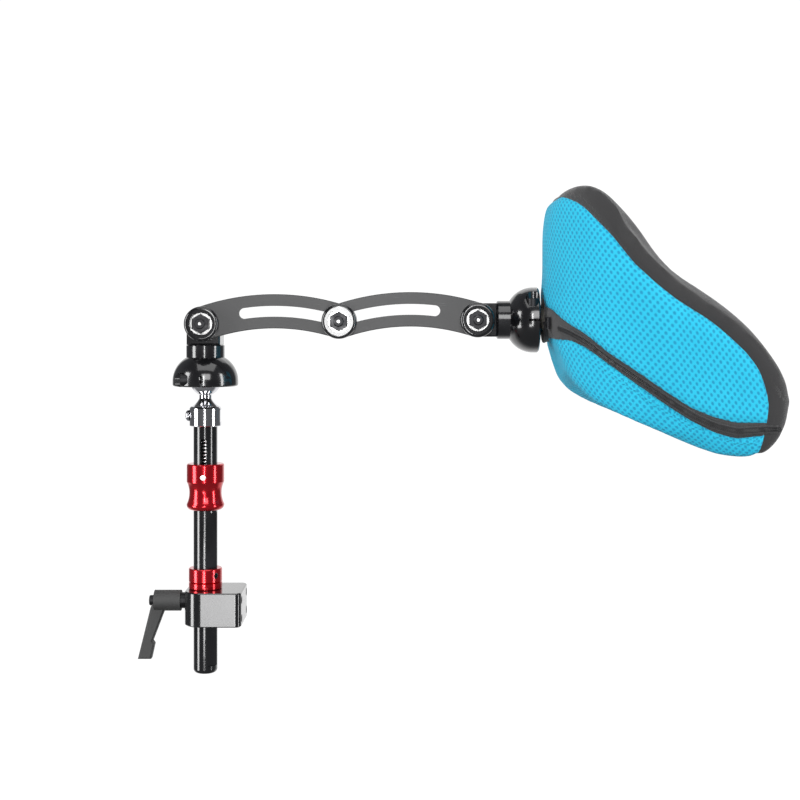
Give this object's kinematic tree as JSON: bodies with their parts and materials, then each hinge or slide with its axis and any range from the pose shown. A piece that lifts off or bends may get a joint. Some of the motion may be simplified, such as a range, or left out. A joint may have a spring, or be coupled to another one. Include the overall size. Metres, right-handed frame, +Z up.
{
  "type": "head support pad on a swing bracket",
  "caption": "Curved head support pad with side wings on a folding pair of slotted links, with ball clamps and a clamped height post.",
  "frame": {"origin": "centre of the mounting block's bolt face, in the middle of its bolt pattern", "axes": "+X out of the bolt face towards the head, +Z up along the post, +Y to the side away from the links"},
  "size_m": [0.473, 0.2596, 0.3729],
  "materials": {
    "black_anodised": "glossy black anodised",
    "red_anodised": "glossy red anodised",
    "polished_steel": "polished",
    "black_steel": "satin black coating",
    "bright_steel": "zinc plated",
    "spring_steel": "drawn wire",
    "brass": "turned",
    "lever_plastic": "moulded, fine grain",
    "nylon": "moulded",
    "black_plastic": "moulded",
    "foam": "open-cell foam",
    "grey_fabric": "smooth stretch fabric",
    "turquoise_mesh": "three-dimensional spacer mesh",
    "black_tape": "woven tape"
  },
  "bodies": {
    "block": {"bracket_block": "black_anodised"},
    "thrust_pad": {"thrust_pad": "brass"},
    "clamp_screw": {"clamp_screw": "black_steel", "lever_cap_screw": "black_steel"},
    "lever": {"lever_handle": "lever_plastic", "lever_spring": "spring_steel"},
    "stop_collar": {"stop_collar": "red_anodised", "collar_screw": "black_steel"},
    "post": {"lower_post": "black_anodised", "post_foot": "black_anodised", "upper_post": "black_anodised", "lock_balls": "polished_steel", "spring_seat": "bright_steel", "release_spring": "spring_steel", "ball_fitting": "polished_steel", "fitting_screw": "polished_steel"},
    "release_knob": {"release_knob": "red_anodised", "knob_set_screw": "bright_steel", "release_plunger": "bright_steel"},
    "lower_liner": {"lower_liner": "nylon"},
    "lower_clamp": {"lower_clamp_body": "black_anodised", "lower_pinch_bolt": "black_steel", "lower_knuckle": "black_anodised", "lower_pivot_bolt": "black_steel", "lower_cap": "black_anodised", "lower_nut_washer": "bright_steel", "lower_lock_nut": "black_steel", "lower_friction_washer": "nylon"},
    "link_a": {"link_a": "black_steel"},
    "middle_bolt": {"middle_bolt": "black_steel", "middle_rear_cap": "black_anodised", "middle_washer": "nylon", "middle_cap": "black_anodised", "middle_nut_washer": "bright_steel", "middle_lock_nut": "black_steel"},
    "slot_washer": {"slot_washer": "nylon"},
    "link_b": {"link_b": "black_steel"},
    "upper_clamp": {"upper_clamp_body": "black_anodised", "upper_pinch_bolt": "black_steel", "upper_knuckle": "black_anodised", "upper_pivot_bolt": "black_steel", "upper_cap": "black_anodised", "upper_nut_washer": "bright_steel", "upper_lock_nut": "black_steel", "upper_spacer": "black_anodised"},
    "upper_liner": {"upper_liner": "nylon"},
    "pad_stud": {"pad_stud": "polished_steel", "pad_nut": "bright_steel"},
    "pad": {"pad_shell": "black_plastic", "pad_mount_plate": "bright_steel", "plate_screws": "bright_steel", "pad_foam": "foam", "cover_front": "grey_fabric", "cover_back": "turquoise_mesh", "cover_under": "turquoise_mesh", "zip_tape": "black_tape", "zip_chain": "black_plastic", "zip_slider": "black_steel"},
    "zip_pull": {"zip_pull": "black_steel"}
  },
  "joints": [
    {"name": "thrust_feed", "type": "slide", "parent": "block", "child": "thrust_pad", "axis": [-1, 0, 0], "range_m": [0, 0.001]},
    {"name": "lever_turn", "type": "hinge", "parent": "thrust_pad", "child": "clamp_screw", "pos_m": [-0.0446, 0, 0.0035], "axis": [-1, 0, 0], "range_deg": [0, 270]},
    {"name": "lever_pull", "type": "slide", "parent": "clamp_screw", "child": "lever", "axis": [-1, 0, 0], "range_m": [0, 0.005], "stiffness_N_per_m": 1200, "springref_m": -0.002, "deforming": ["lever_spring"]},
    {"name": "post_turn", "type": "hinge", "parent": "block", "child": "stop_collar", "pos_m": [-0.03, 0, 0.013], "axis": [0, 0, 1], "range_deg": [-180, 180]},
    {"name": "post_slide", "type": "slide", "parent": "stop_collar", "child": "post", "axis": [0, 0, 1], "range_m": [-0.044, 0.038]},
    {"name": "knob_lift", "type": "slide", "parent": "post", "child": "release_knob", "axis": [0, 0, 1], "range_m": [0, 0.007], "stiffness_N_per_m": 1500, "springref_m": -0.006, "deforming": ["release_spring"]},
    {"name": "lower_tilt_fore", "type": "hinge", "parent": "post", "child": "lower_liner", "pos_m": [-0.03, 0, 0.1741], "axis": [0, 1, 0], "range_deg": [-25, 25]},
    {"name": "lower_tilt_side", "type": "hinge", "parent": "lower_liner", "child": "lower_clamp", "pos_m": [-0.03, 0, 0.1741], "axis": [1, 0, 0], "range_deg": [-25, 25]},
    {"name": "link_a_swing", "type": "hinge", "parent": "lower_clamp", "child": "link_a", "pos_m": [-0.03, -0.0164, 0.2184], "axis": [0, -1, 0], "range_deg": [-35, 185]},
    {"name": "slot_a_slide", "type": "hinge", "parent": "link_a", "child": "middle_bolt", "pos_m": [0.0252, -0.0164, 0.06397], "axis": [0, 1, 0], "range_deg": [-25.7, 0]},
    {"name": "middle_swing", "type": "hinge", "parent": "middle_bolt", "child": "slot_washer", "pos_m": [0.07498, -0.0224, 0.22023], "axis": [0, 1, 0], "range_deg": [-80, 92]},
    {"name": "slot_b_slide", "type": "hinge", "parent": "slot_washer", "child": "link_b", "pos_m": [0.12911, -0.0224, 0.06542], "axis": [0, -1, 0], "range_deg": [0, 25.7]},
    {"name": "upper_swing", "type": "hinge", "parent": "link_b", "child": "upper_clamp", "pos_m": [0.17998, -0.0224, 0.22133], "axis": [0, -1, 0], "range_deg": [-100, 100]},
    {"name": "pad_yaw", "type": "hinge", "parent": "upper_clamp", "child": "upper_liner", "pos_m": [0.22428, 0, 0.22133], "axis": [0, 0, 1], "range_deg": [-8, 8]},
    {"name": "pad_pitch", "type": "hinge", "parent": "upper_liner", "child": "pad_stud", "pos_m": [0.22428, 0, 0.22133], "axis": [0, 1, 0], "range_deg": [-4, 22]},
    {"name": "pad_roll", "type": "hinge", "parent": "pad_stud", "child": "pad", "pos_m": [0.22428, 0, 0.22133], "axis": [1, 0, 0], "range_deg": [-30, 30]},
    {"name": "zip_pull_swing", "type": "hinge", "parent": "pad", "child": "zip_pull", "pos_m": [0.23077, -0.03087, 0.21891], "axis": [-0.2479, 0.9688, 0], "range_deg": [0, 150]}
  ],
  "couplings": [
    {"joint": "thrust_feed", "follows": "lever_turn", "m_per_rad": 0.00019894}
  ]
}
